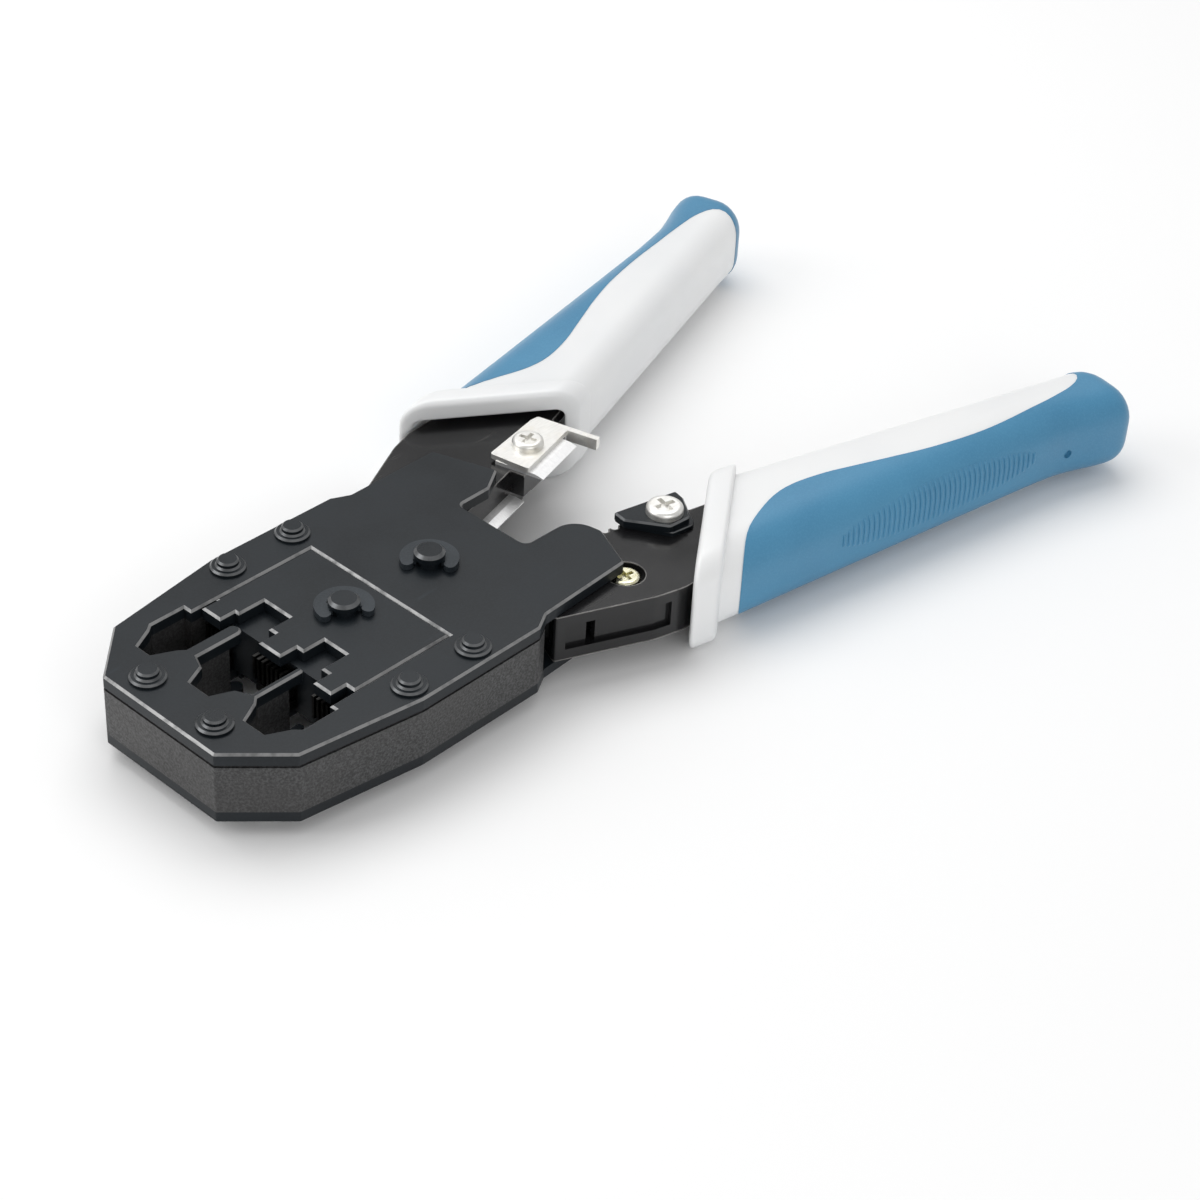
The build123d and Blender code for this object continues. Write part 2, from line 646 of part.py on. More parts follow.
BRACKET_CORNERS = (
    (31.9, 0.0, 0.3),
    (BRACKET_END, 0.0, 0.0),
    (BRACKET_END, 6.3, 0.5),
    (BRACKET_END - 1.7, 6.8, 0.5),
    (32.5, 7.6, 0.5),
)
with BuildPart() as blade_bracket:
    with BuildSketch(handle_plane(FIXED, ARM_TOP + BLADE_T)):
        add(outline(BRACKET_CORNERS))
        with Locations(BRACKET_SCREW):
            Circle(RIVET_R, mode=Mode.SUBTRACT)
    extrude(amount=BRACKET_T, dir=UP)
    with BuildSketch(handle_plane(FIXED, ARM_TOP + BLADE_T + BRACKET_T - STOP_DROP)):
        where, length, width = rectangle((BRACKET_END - STOP_T, BRACKET_END), (STOP_REACH, 0.1))
        with Locations(where):
            Rectangle(length, width)
    extrude(amount=STOP_DROP, dir=UP)
blade_bracket.part.label = "blade_bracket"
export_step(blade_bracket.part, "parts/blade_bracket.step")

ANVIL_CORNERS = (
    (32.9, 3.1, 0.4),
    (STOP_SLOT_X, 3.1, 0.5),
    (STOP_SLOT_X, 5.3, 0.8),
    (44.3, 7.6, 1.0),
    (42.9, 10.4, 0.8),
    (38.6, 11.0, 0.8),
    (33.1, 5.8, 0.8),
)
COUNTER_CORNERS = (
    (33.4, 2.75, 0.2),
    (STOP_SLOT_X, 2.75, 0.2),
    (STOP_SLOT_X, 6.4, 1.0),
    (43.6, 11.0, 1.5),
    (39.0, 11.3, 0.8),
    (33.6, 5.2, 0.8),
)
for name, corners, base_z, thickness, bevel in (
    ("counter_blade", COUNTER_CORNERS, ARM_TOP, COUNTER_T, ANVIL_BEVEL / 2),
    ("anvil_bracket", ANVIL_CORNERS, ARM_TOP + COUNTER_T, ANVIL_T, ANVIL_BEVEL),
):
    with BuildPart() as clamp_plate:
        with BuildSketch(handle_plane(MOVING, base_z)):
            add(outline(corners))
            with Locations(ANVIL_SCREW):
                Circle(RIVET_R, mode=Mode.SUBTRACT)
        extrude(amount=thickness, dir=UP)
        chamfer(clamp_plate.faces().sort_by(Axis.Z)[-1].outer_wire().edges(), length=bevel)
    clamp_plate.part.label = name
    export_step(clamp_plate.part, f"parts/{name}.step")


CROWN = 0.55  # rounding of a screw's head, as a share of its height
RECESS_SIZE = (1.15, 0.28)  # each bar of the cross recess, as shares of the head's radius


def cross_screw(head_r, head_h, length):
    """Cross-recessed screw, its head's underside at z 0, shank downwards."""
    with BuildPart() as screw:
        with Locations((0, 0, head_h / 2)):
            Cylinder(head_r, head_h)
        fillet(screw.faces().sort_by(Axis.Z)[-1].edges(), head_h * CROWN)
        with Locations((0, 0, -length / 2)):
            Cylinder(RIVET_R, length)
        with Locations((0, 0, head_h)):
            for long, wide in (RECESS_SIZE, RECESS_SIZE[::-1]):
                Box(long * head_r, wide * head_r, head_h * 1.1, mode=Mode.SUBTRACT)
    return screw.part


# name, handle, place on it, height under the head, head radius, head height, shank length, head up or down
SCREWS = (
    ("bracket_screw", FIXED, BRACKET_SCREW, ARM_TOP + BLADE_T + BRACKET_T, 2.7, 1.3, 8.0, 1),
    ("cutter_screw", FIXED, CUTTER_SCREW, CUTTER_Z, 2.6, 1.3, 3.0, -1),
    ("anvil_screw", MOVING, ANVIL_SCREW, ARM_TOP + COUNTER_T + ANVIL_T, 3.1, 1.5, 10.0, 1),
    ("arm_clamp_screw", MOVING, CLAMP_SCREW, ARM_TOP - RECESS_DEPTH, 2.5, 1.2, 6.8, 1),
)
for name, side, (along, out), z, head_r, head_h, length, facing in SCREWS:
    shape = cross_screw(head_r, head_h, length)
    seat = handle_plane(side, z)
    centre = seat.from_local_coords((along, out, 0))
    with BuildPart() as screw:
        add(Plane(origin=centre, x_dir=seat.x_dir, z_dir=(0, 0, facing)) * shape)
    screw.part.label = name
    export_step(screw.part, f"parts/{name}.step")

# ================================================================ return spring, across the throat

with BuildPart() as return_spring:
    spring_length = SPRING_Y[1] - SPRING_Y[0] - 2 * WIRE_R
    spring_foot = (SPRING_X, SPRING_Y[0] + WIRE_R, MID_Z)
    with BuildLine():
        pitch = spring_length / SPRING_TURNS
        coil = Helix(pitch, spring_length, SPRING_R, center=spring_foot, direction=(0, 1, 0))
    with BuildSketch(Plane(origin=coil @ 0, z_dir=coil % 0)):
        Circle(WIRE_R)
    sweep(path=coil, is_frenet=True)
return_spring.part.label = "return_spring"
export_step(return_spring.part, "parts/return_spring.step")

# ================================================================ grips: hard shell and soft overmould

GRIP_CORNERS = (
    (36.0, 24.6, 0.0),
    (118.0, 19.4, 10.0),
    (GRIP_END, 21.6, 3.0),
    (GRIP_END, 6.9, 5.0),
    (120.0, 6.3, 4.0),
    (56.0, 2.5, 0.0),
)
# edge of the soft skin: from the collar it swings in over the flat, back out, and round the tip
SKIN_EDGE = (
    (43.0, 26.0),
    (46.5, 20.6),
    (51.5, 16.8),
    (57.0, 13.8),
    (64.0, 12.4),
    (78.0, 14.4),
    (100.0, 15.9),
    (118.0, 14.1),
    (125.5, 11.3),
    (128.6, 5.0),
)
(collar_x0, collar_v0), (collar_x1, collar_v1) = COLLAR_FRONT
CAVITY_CORNERS = (
    (20.0, 4.2 - TANG_GAP, 0.0),
    (51.5, 4.2 - TANG_GAP, 0.0),
    (TANG_END + TANG_GAP, 9.0, 0.0),
    (TANG_END + TANG_GAP, 15.8, 0.0),
    (48.0, 20.3 + TANG_GAP, 0.0),
    (33.0, 23.5 + TANG_GAP, 0.0),
    (20.0, 23.5 + TANG_GAP, 0.0),
)

for name, side in (("fixed", FIXED), ("moving", MOVING)):
    base = handle_plane(side, MID_Z)
    front_out = base.from_local_coords((collar_x0, collar_v0, 0))
    front_in = base.from_local_coords((collar_x1, collar_v1, 0))
    slant = (front_in - front_out).normalized()
    facing = Plane(origin=front_out, x_dir=slant, z_dir=Vector(UP).cross(slant) * side[1])
    shift = base.x_dir * COLLAR_T
    back = Plane(origin=front_out + shift, x_dir=slant, z_dir=facing.z_dir)

    with BuildPart() as grip_body:
        with BuildSketch(handle_plane(side, MID_Z - GRIP_HALF)):
            add(outline(GRIP_CORNERS))
        extrude(amount=2 * GRIP_HALF, dir=UP)
        rim = grip_body.edges().filter_by(lambda edge: abs(edge.center().Z - MID_Z) > GRIP_HALF - 0.01)
        fillet(rim, GRIP_EDGE_R)
        split(bisect_by=back, keep=Keep.TOP)

    with BuildPart() as collar:
        section = Plane(origin=base.from_local_coords((20.0, 0, 0)), x_dir=base.y_dir, z_dir=base.x_dir)
        with BuildSketch(section):
            with Locations(((collar_v0 + collar_v1) / 2, 0)):
                RectangleRounded(collar_v0 - collar_v1, 2 * COLLAR_HALF, COLLAR_EDGE_R)
        extrude(amount=45.0)
        split(bisect_by=facing, keep=Keep.TOP)
        split(bisect_by=back, keep=Keep.BOTTOM)

    # the arm enters through a wider mouth in the collar's slanted face
    mouth_floor = Plane(origin=front_out + base.x_dir * MOUTH_DEPTH, x_dir=slant, z_dir=facing.z_dir)
    with BuildPart() as mouth:
        with BuildSketch(section):
            with Locations((sum(MOUTH_V) / 2, 0)):
                RectangleRounded(MOUTH_V[1] - MOUTH_V[0], 2 * MOUTH_HALF, MOUTH_CORNER_R)
        extrude(amount=45.0)
        split(bisect_by=mouth_floor, keep=Keep.BOTTOM)

    with BuildPart() as overmould:
        add(grip_body.part)
        with BuildSketch(handle_plane(side, MID_Z - COLLAR_HALF)):
            with BuildLine():
                edge = Spline(*SKIN_EDGE)
                Polyline(edge @ 1, (GRIP_END + 5.0, 5.0), (GRIP_END + 5.0, 30.0), (43.0, 30.0), edge @ 0)
            make_face()
        extrude(amount=2 * COLLAR_HALF, dir=UP, mode=Mode.INTERSECT)
        with BuildSketch(handle_plane(side, MID_Z - ARM_HALF - SKIN_T)):
            add(outline(CAVITY_CORNERS))
            offset(amount=SKIN_T, kind=Kind.INTERSECTION)
        extrude(amount=2 * (ARM_HALF + SKIN_T), dir=UP, mode=Mode.SUBTRACT)
    overmould.part.label = f"{name}_grip_overmould"
    export_step(overmould.part, f"parts/{name}_grip_overmould.step")

    with BuildPart() as grip_shell:
        add(grip_body.part)
        add(overmould.part, mode=Mode.SUBTRACT)
        add(collar.part)
        with BuildSketch(handle_plane(side, MID_Z - ARM_HALF - TANG_GAP)):
            add(outline(CAVITY_CORNERS))
        extrude(amount=2 * (ARM_HALF + TANG_GAP), dir=UP, mode=Mode.SUBTRACT)
        add(mouth.part, mode=Mode.SUBTRACT)
    grip_shell.part.label = f"{name}_grip_shell"
    export_step(grip_shell.part, f"parts/{name}_grip_shell.step")
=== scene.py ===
import bmesh
import bpy
import json
import math
from mathutils import Matrix, Vector


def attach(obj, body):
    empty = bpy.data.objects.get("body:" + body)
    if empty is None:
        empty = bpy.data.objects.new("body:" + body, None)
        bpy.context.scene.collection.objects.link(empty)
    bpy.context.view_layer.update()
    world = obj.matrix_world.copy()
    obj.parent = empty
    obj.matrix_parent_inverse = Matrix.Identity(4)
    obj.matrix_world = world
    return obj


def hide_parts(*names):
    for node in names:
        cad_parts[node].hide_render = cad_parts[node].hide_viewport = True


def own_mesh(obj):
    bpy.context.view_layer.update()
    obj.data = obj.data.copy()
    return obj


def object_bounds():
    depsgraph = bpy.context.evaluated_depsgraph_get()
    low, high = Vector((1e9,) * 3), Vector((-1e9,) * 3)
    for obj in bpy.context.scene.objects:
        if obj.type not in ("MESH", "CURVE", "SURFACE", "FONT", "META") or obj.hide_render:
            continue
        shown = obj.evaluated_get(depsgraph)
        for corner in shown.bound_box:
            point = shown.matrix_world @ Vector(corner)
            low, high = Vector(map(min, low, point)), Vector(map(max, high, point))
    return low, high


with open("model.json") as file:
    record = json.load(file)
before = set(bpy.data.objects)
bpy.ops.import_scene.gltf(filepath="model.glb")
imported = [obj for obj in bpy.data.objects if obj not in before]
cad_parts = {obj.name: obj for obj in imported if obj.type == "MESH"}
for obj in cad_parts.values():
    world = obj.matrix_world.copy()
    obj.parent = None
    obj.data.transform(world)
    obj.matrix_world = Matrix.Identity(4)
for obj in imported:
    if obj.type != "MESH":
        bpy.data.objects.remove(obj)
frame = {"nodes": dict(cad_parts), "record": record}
cad_low, cad_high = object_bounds()
scene = bpy.context.scene
scene.view_settings.view_transform = "Standard"
MM = 0.001
MID_Z = 9.0 * MM  # mid-plane of the tool


# ---------------------------------------------------------------- node helpers
class Shader:
    """A Principled material and small helpers for its nodes."""

    def __init__(self, name, base, metallic=0.0, roughness=0.5, **sockets):
        self.mat = bpy.data.materials.new(name)
        self.mat.use_nodes = True
        self.tree = self.mat.node_tree
        self.bsdf = self.tree.nodes["Principled BSDF"]
        self.put("Base Color", (*base, 1))
        self.put("Metallic", metallic)
        self.put("Roughness", roughness)
        for key, value in sockets.items():
            self.put(key.replace("_", " "), value)
        self.where = self.node("ShaderNodeTexCoord").outputs["Object"]

    def put(self, socket, value):
        self.bsdf.inputs[socket].default_value = value

    def node(self, kind, **settings):
        n = self.tree.nodes.new(kind)
        for key, value in settings.items():
            setattr(n, key, value)
        return n

    def link(self, a, b):
        self.tree.links.new(a, b)

    def feed(self, socket, output):
        self.link(output, self.bsdf.inputs[socket])

    def scaled(self, x, y, z):
        m = self.node("ShaderNodeMapping")
        m.inputs["Scale"].default_value = (x, y, z)
        self.link(self.where, m.inputs["Vector"])
        return m.outputs["Vector"]

    def noise(self, scale, detail=3.0, rough=0.55, at=None):
        n = self.node("ShaderNodeTexNoise")
        n.inputs["Scale"].default_value = scale
        n.inputs["Detail"].default_value = detail
        n.inputs["Roughness"].default_value = rough
        self.link(at or self.where, n.inputs["Vector"])
        return n.outputs["Fac"]

    def cells(self, scale):
        n = self.node("ShaderNodeTexVoronoi", feature="F1")
        n.inputs["Scale"].default_value = scale
        self.link(self.where, n.inputs["Vector"])
        return n.outputs["Distance"]

    def span(self, fac, low, high, to_low=0.0, to_high=1.0):
        """Smooth step from to_low to to_high as fac goes from low to high."""
        n = self.node("ShaderNodeMapRange", interpolation_type="SMOOTHSTEP")
        limits = {"From Min": low, "From Max": high, "To Min": to_low, "To Max": to_high}
        for key, value in limits.items():
            n.inputs[key].default_value = value
        self.link(fac, n.inputs["Value"])
        return n.outputs["Result"]

    def math(self, operation, a, b=None):
        n = self.node("ShaderNodeMath", operation=operation)
        for socket, value in zip(n.inputs, (a, b)):
            if value is None:
                continue
            if isinstance(value, (int, float)):
                socket.default_value = value
            else:
                self.link(value, socket)
        return n.outputs[0]

    def mix(self, fac, a, b):
        n = self.node("ShaderNodeMix", data_type="RGBA")
        self.link(fac, n.inputs["Factor"])
        for index, value in ((6, a), (7, b)):
            if isinstance(value, tuple):
                n.inputs[index].default_value = (*value, 1)
            else:
                self.link(value, n.inputs[index])
        return n.outputs[2]

    def bump(self, height, strength, distance, under=None):
        n = self.node("ShaderNodeBump")
        n.inputs["Strength"].default_value = strength
        n.inputs["Distance"].default_value = distance
        self.link(height, n.inputs["Height"])
        if under is not None:
            self.link(under, n.inputs["Normal"])
        return n.outputs["Normal"]

    def slanted(self):
        """1 on faces that slope between flat and upright, such as a stamped edge's bevel."""
        normal = self.node("ShaderNodeNewGeometry").outputs["True Normal"]
        split = self.node("ShaderNodeSeparateXYZ")
        self.link(normal, split.inputs[0])
        tilt = self.math("ABSOLUTE", split.outputs["Z"])
        return self.math("MULTIPLY", self.span(tilt, 0.25, 0.4), self.span(tilt, 0.97, 0.88))

    def rim(self, radius):
        """1 along edges, fading out within this many millimetres; needs Cycles' Bevel node."""
        rounded = self.node("ShaderNodeBevel", samples=6)
        rounded.inputs["Radius"].default_value = radius * MM
        plain = self.node("ShaderNodeNewGeometry").outputs["Normal"]
        turn = self.node("ShaderNodeVectorMath", operation="DOT_PRODUCT")
        self.link(rounded.outputs[0], turn.inputs[0])
        self.link(plain, turn.inputs[1])
        return self.span(turn.outputs["Value"], 0.985, 0.86)


# ---------------------------------------------------------------- finishes
def oxide(name, dark, light, roughness, edge, grain=2600.0):
    """Satin black oxide on stamped steel, with a painted highlight on sloping bevel faces, broken up by wear
    noise.
    """
    s = Shader(name, dark, metallic=0.2, roughness=roughness, Specular_IOR_Level=0.34)
    cloud = s.noise(70.0, 4.0)
    fine = s.noise(grain, 2.0, 0.7)
    scuffs = s.noise(240.0, 5.0, 0.6, s.scaled(0.35, 3.0, 1.0))
    colour = s.mix(s.span(cloud, 0.3, 0.7), dark, light)
    colour = s.mix(s.span(fine, 0.35, 0.75, 0.0, 0.35), colour, tuple(1.5 * c for c in light))
    colour = s.mix(s.span(scuffs, 0.64, 0.76, 0.0, 0.3), colour, tuple(3.0 * c for c in light))
    # painted highlight: sloping bevel faces take the bright edge colour, broken up by wear noise
    edge_highlight_and_wear = s.math("MULTIPLY", s.slanted(), s.span(s.noise(420.0, 3.0), 0.25, 0.6, 0.45, 1.0))
    s.feed("Base Color", s.mix(edge_highlight_and_wear, colour, edge))
    s.feed("Metallic", s.math("ADD", 0.2, s.math("MULTIPLY", edge_highlight_and_wear, 0.6)))
    s.feed("Roughness", s.math("ADD", s.span(cloud, 0.25, 0.75, roughness - 0.05, roughness + 0.08),
                               s.span(scuffs, 0.64, 0.76, 0.0, 0.1)))
    s.feed("Normal", s.bump(fine, 0.12, 0.00005))
    return s.mat


def cast(name):
    """Grainy painted casting."""
    s = Shader(name, (0.03, 0.031, 0.032), metallic=0.0, roughness=0.42, Specular_IOR_Level=0.5)
    grain = s.noise(2600.0, 3.0, 0.72)
    coarse = s.noise(520.0, 3.0, 0.6)
    cloud = s.noise(45.0, 3.0)
    colour = s.mix(s.span(grain, 0.36, 0.7), (0.013, 0.0135, 0.014), (0.068, 0.069, 0.071))
    colour = s.mix(s.span(cloud, 0.35, 0.7, 0.0, 0.45), colour, (0.034, 0.031, 0.03))
    s.feed("Base Color", colour)
    s.feed("Roughness", s.span(grain, 0.3, 0.7, 0.5, 0.32))
    under = s.bump(coarse, 0.22, 0.00012)
    s.feed("Normal", s.bump(grain, 0.4, 0.00008, under))
    return s.mat


# the pressed arms get a painted highlight, broken up by wear noise, only along their outer rims, beyond this
# distance from the mid-plane
RIM_FROM = 3.7 * MM
RIM_WIDTH = 0.45


def enamel(name, base, roughness, edge):
    """Gloss black enamel over pressed steel: orange peel, faint scuffs and a painted highlight along the
    outer rims, broken up by wear noise.
    """
    s = Shader(name, base, metallic=0.0, roughness=roughness, Specular_IOR_Level=0.36,
               Coat_Weight=0.12, Coat_Roughness=0.1)
    peel = s.noise(950.0, 2.0, 0.5)
    cloud = s.noise(60.0, 4.0)
    scuffs = s.noise(160.0, 5.0, 0.65, s.scaled(0.4, 3.0, 3.0))
    colour = s.mix(s.span(cloud, 0.3, 0.75), base, tuple(1.9 * c for c in base))
    colour = s.mix(s.span(scuffs, 0.62, 0.76, 0.0, 0.35), colour, (0.035, 0.028, 0.024))
    split = s.node("ShaderNodeSeparateXYZ")
    s.link(s.where, split.inputs[0])
    height = s.math("ABSOLUTE", s.math("SUBTRACT", split.outputs["Z"], MID_Z))
    outer = s.span(height, RIM_FROM, RIM_FROM + 0.2 * MM)
    # painted highlight along edges, broken up by wear noise and kept to the outer rims
    edge_highlight_and_wear = s.math("MULTIPLY", s.rim(RIM_WIDTH), s.span(s.noise(300.0, 3.0), 0.3, 0.6, 0.4, 1.0))
    edge_highlight_and_wear = s.math("MULTIPLY", edge_highlight_and_wear, outer)
    s.feed("Base Color", s.mix(edge_highlight_and_wear, colour, edge))
    s.feed("Roughness", s.math("ADD", s.span(cloud, 0.3, 0.7, roughness - 0.04, roughness + 0.05),
                               s.span(scuffs, 0.6, 0.74, 0.0, 0.14)))
    s.feed("Normal", s.bump(peel, 0.1, 0.00006))
    return s.mat


def bright(name, low, high, roughness, brush, tint=None, metallic=1.0):
    """Plated or ground steel, with fine marks along one direction and faint stains."""
    s = Shader(name, high, metallic=metallic, roughness=roughness)
    marks = s.noise(5200.0, 2.0, 0.5, s.scaled(*brush))
    cloud = s.noise(240.0, 4.0)
    colour = s.mix(s.span(marks, 0.3, 0.7), low, high)
    if tint:
        colour = s.mix(s.span(cloud, 0.5, 0.8, 0.0, 0.6), colour, tint)
    s.feed("Base Color", colour)
    s.feed("Roughness", s.math("ADD", s.span(marks, 0.3, 0.7, roughness - 0.04, roughness + 0.05),
                               s.span(cloud, 0.5, 0.8, 0.0, 0.08)))
    s.feed("Normal", s.bump(marks, 0.04, 0.000006))
    return s.mat


def shell_plastic(name):
    """Smooth off-white moulded plastic."""
    s = Shader(name, (0.83, 0.835, 0.835), roughness=0.3, IOR=1.5, Subsurface_Weight=0.12,
               Subsurface_Scale=0.0015)
    s.bsdf.inputs["Subsurface Radius"].default_value = (1.0, 0.95, 0.9)
    cloud = s.noise(28.0, 3.0)
    fine = s.noise(1500.0, 2.0, 0.5)
    specks = s.noise(420.0, 4.0, 0.7)
    colour = s.mix(s.span(cloud, 0.3, 0.7), (0.775, 0.785, 0.795), (0.825, 0.83, 0.83))
    s.feed("Base Color", s.mix(s.span(specks, 0.68, 0.82, 0.0, 0.14), colour, (0.62, 0.61, 0.58)))
    s.feed("Roughness", s.span(cloud, 0.3, 0.7, 0.27, 0.36))
    s.feed("Normal", s.bump(fine, 0.05, 0.00004))
    return s.mat


def soft_blue(name):
    """Matt blue elastomer with a fine moulded texture."""
    s = Shader(name, (0.08, 0.24, 0.41), roughness=0.46, Sheen_Weight=0.05, Sheen_Roughness=0.4)
    cloud = s.noise(40.0, 3.0)
    pebble = s.cells(2600.0)
    fine = s.noise(3200.0, 2.0, 0.6)
    colour = s.mix(s.span(cloud, 0.25, 0.75), (0.05, 0.208, 0.365), (0.062, 0.245, 0.415))
    colour = s.mix(s.span(fine, 0.4, 0.7, 0.0, 0.25), colour, (0.095, 0.31, 0.49))
    s.feed("Base Color", colour)
    s.feed("Roughness", s.span(cloud, 0.3, 0.7, 0.34, 0.46))
    s.feed("Normal", s.bump(fine, 0.1, 0.00005, s.bump(pebble, 0.08, 0.00005)))
    return s.mat


PLATE = ((0.0055, 0.008, 0.0105), (0.0095, 0.013, 0.0165))  # dark and light tones of the oxide
# the last colour given to each oxide and enamel finish is its painted edge highlight, broken up by wear
FINISH = {
    "plate_black": oxide("plate_black", *PLATE, 0.36, (0.31, 0.31, 0.31)),
    "frame_cast": cast("frame_cast"),
    "arm_gloss_black": enamel("arm_gloss_black", (0.006, 0.006, 0.0065), 0.2, (0.3, 0.29, 0.28)),
    "lever_black": oxide("lever_black", (0.006, 0.006, 0.0065), (0.01, 0.01, 0.011), 0.34,
                         (0.2, 0.2, 0.2)),
    "hardware_black": oxide("hardware_black", *PLATE, 0.3, (0.16, 0.165, 0.17)),
    "clip_black": oxide("clip_black", (0.018, 0.023, 0.028), (0.03, 0.037, 0.044), 0.34,
                        (0.16, 0.17, 0.18)),
    "die_steel": bright("die_steel", (0.02, 0.02, 0.02), (0.045, 0.044, 0.042), 0.42, (1, 0.1, 1)),
    "blade_steel": bright("blade_steel", (0.82, 0.82, 0.82), (0.92, 0.92, 0.92), 0.4, (1, 0.08, 1),
                          metallic=0.8),
    "nickel_plate": bright("nickel_plate", (0.83, 0.82, 0.79), (0.9, 0.89, 0.86), 0.34, (0.1, 1, 1),
                           tint=(0.76, 0.72, 0.62), metallic=0.85),
    "zinc_yellow": bright("zinc_yellow", (0.74, 0.7, 0.45), (0.86, 0.85, 0.7), 0.25, (0.1, 1, 1),
                          tint=(0.62, 0.58, 0.2)),
    "spring_steel": bright("spring_steel", (0.3, 0.3, 0.31), (0.5, 0.5, 0.51), 0.26, (1, 0.2, 1)),
    "grip_white": shell_plastic("grip_white"),
    "grip_blue": soft_blue("grip_blue"),
}
SLOT_OF = {p["node"]: p["material_slot"] for p in frame["record"]["subparts"]}


def paint(obj, slot):
    obj.data.materials.clear()
    obj.data.materials.append(FINISH[slot])


for name, obj in frame["nodes"].items():
    paint(obj, SLOT_OF[name])

# ---------------------------------------------------------------- return spring, across the throat
SPRING_X, SPRING_ENDS = 10.1, (-7.0, 8.2)
SPRING_R, WIRE_R, TURNS = 1.6, 0.4, 7
END_TIGHTEN = 0.025  # how far the end turns are drawn together, as a share of the spring's length


def spring():
    """Rings of round wire along a coil on Y, in millimetres."""
    steps, around = 28 * TURNS, 10
    start, end = SPRING_ENDS
    rings = []
    for i in range(steps + 1):
        t = i / steps
        turn = 2 * math.pi * TURNS * t
        y = start + (end - start) * (t - END_TIGHTEN * math.sin(2 * math.pi * t))
        outward = Vector((math.cos(turn), 0.0, math.sin(turn)))
        centre = Vector((SPRING_X, y, MID_Z / MM)) + outward * SPRING_R
        ring = []
        for k in range(around):
            a = 2 * math.pi * k / around
            sideways = Vector((0, WIRE_R * math.sin(a), 0))
            ring.append(tuple(centre + outward * (WIRE_R * math.cos(a)) + sideways))
        rings.append(ring)
    return rings


# ---------------------------------------------------------------- grips, in each handle's own frame
# x runs along the handle from the main pivot, y outwards and z up from the mid-plane, in millimetres
HANDLES = {"fixed": (15.1, 1, "head"), "moving": (-12.9, -1, "moving_handle")}
GRIP_START, GRIP_END = 34.0, 132.4
END_LENGTH = 9.0  # the rounded end
END_INNER_R, END_OUTER_R, END_SIDE_R = 6.5, 3.6, 5.0
HALF = 7.6
TOP_CORNER, LOW_CORNER, INNER_CORNER = 6.9, 5.0, 5.2
TIP_FROM, TIP_LENGTH = 108.0, 18.0  # where the outer corners tighten towards the end
SKIN_PROUD = 0.08
COLLAR_OUT, COLLAR_IN = (32.4, 25.8), (52.9, 2.0)
COLLAR_T, COLLAR_HALF, COLLAR_CORNER = 5.6, 9.0, 4.2
FRONT_R, BACK_R, MOUTH_R = 1.3, 0.9, 0.5  # rounding of the collar's front, back and mouth
MOUTH = (3.8, 23.9, 5.4)
# cutting tools reach past the grip on every side
INSIDE, OUTSIDE, PAST_END, TOOL_HALF = -6.0, 36.0, GRIP_END + 9.0, 12.0
LAP = 0.35  # how far the grip body reaches into the collar


def interpolate(x, points):
    """Height at x of a chain of (x, y) points, flat outside them."""
    if x <= points[0][0]:
        return points[0][1]
    for (x0, y0), (x1, y1) in zip(points, points[1:]):
        if x <= x1:
            t = (x - x0) / (x1 - x0)
            return y0 + (y1 - y0) * t
    return points[-1][1]


OUTER_EDGE = ((30.0, 25.0), (60.0, 23.05), (90.0, 21.15), (112.0, 19.8), (116.0, 19.62), (119.0, 19.75),
              (122.0, 20.15), (125.0, 20.65), (128.0, 21.0), (132.0, 21.15))
INNER_EDGE = ((42.0, 1.75), (65.7, 3.1), (90.0, 4.55), (112.0, 5.85), (120.0, 6.35), (133.0, 6.85))


def swell(x, reach, radius):
    """How far a side has pulled in at x, where the end is rounded with this radius."""
    into = x - (reach - radius)
    if into <= 0:
        return 0.0
    return radius - math.sqrt(max(radius * radius - into * into, 0.0))


def section(low, high, half, corners, steps=7, flat=6):
    """Ring of (y, z) round a box with a radius for each corner, anticlockwise from the lower inner one."""
    largest = min(high - low, 2 * half) * 0.495
    places = ((low, -half, 180), (high, -half, 270), (high, half, 0), (low, half, 90))
    arcs = []
    for (y, z, start), radius in zip(places, corners):
        r = min(radius, largest)
        cy = y + (r if y == low else -r)
        cz = z + (r if z < 0 else -r)
        angles = [math.radians(start + 90 * k / steps) for k in range(steps + 1)]
        arcs.append([(cy + r * math.cos(a), cz + r * math.sin(a)) for a in angles])
    ring = []
    for arc, after in zip(arcs, arcs[1:] + arcs[:1]):
        ring += arc
        (y0, z0), (y1, z1) = arc[-1], after[0]
        ring += [(y0 + (y1 - y0) * k / flat, z0 + (z1 - z0) * k / flat) for k in range(1, flat)]
    return ring


def grip_rings(grow):
    """Cross-sections of the grip body from the collar to its rounded end, grown outwards by grow."""
    straight = GRIP_END - END_LENGTH - GRIP_START
    stations = [GRIP_START + straight * k / 84 for k in range(85)]
    stations += [GRIP_END - END_LENGTH * (1 - math.sin(math.radians(90 * k / 26))) for k in range(1, 27)]
    rings = []
    for x in stations:
        low = interpolate(x, INNER_EDGE) + swell(x, GRIP_END, END_INNER_R) - grow
        high = interpolate(x, OUTER_EDGE) - swell(x, GRIP_END, END_OUTER_R) + grow
        shrink = swell(x, GRIP_END, END_SIDE_R)
        half = HALF - shrink + grow
        tip = max(0.0, min(1.0, (x - TIP_FROM) / TIP_LENGTH))
        corners = (INNER_CORNER, LOW_CORNER - 0.4 * tip, TOP_CORNER - 1.4 * tip, INNER_CORNER)
        corners = [max(c - 0.6 * shrink, 1.0) for c in corners]
        end = x if x < GRIP_END else x + grow
        rings.append([(end, y, z) for y, z in section(low, high, half, corners)])
    return rings


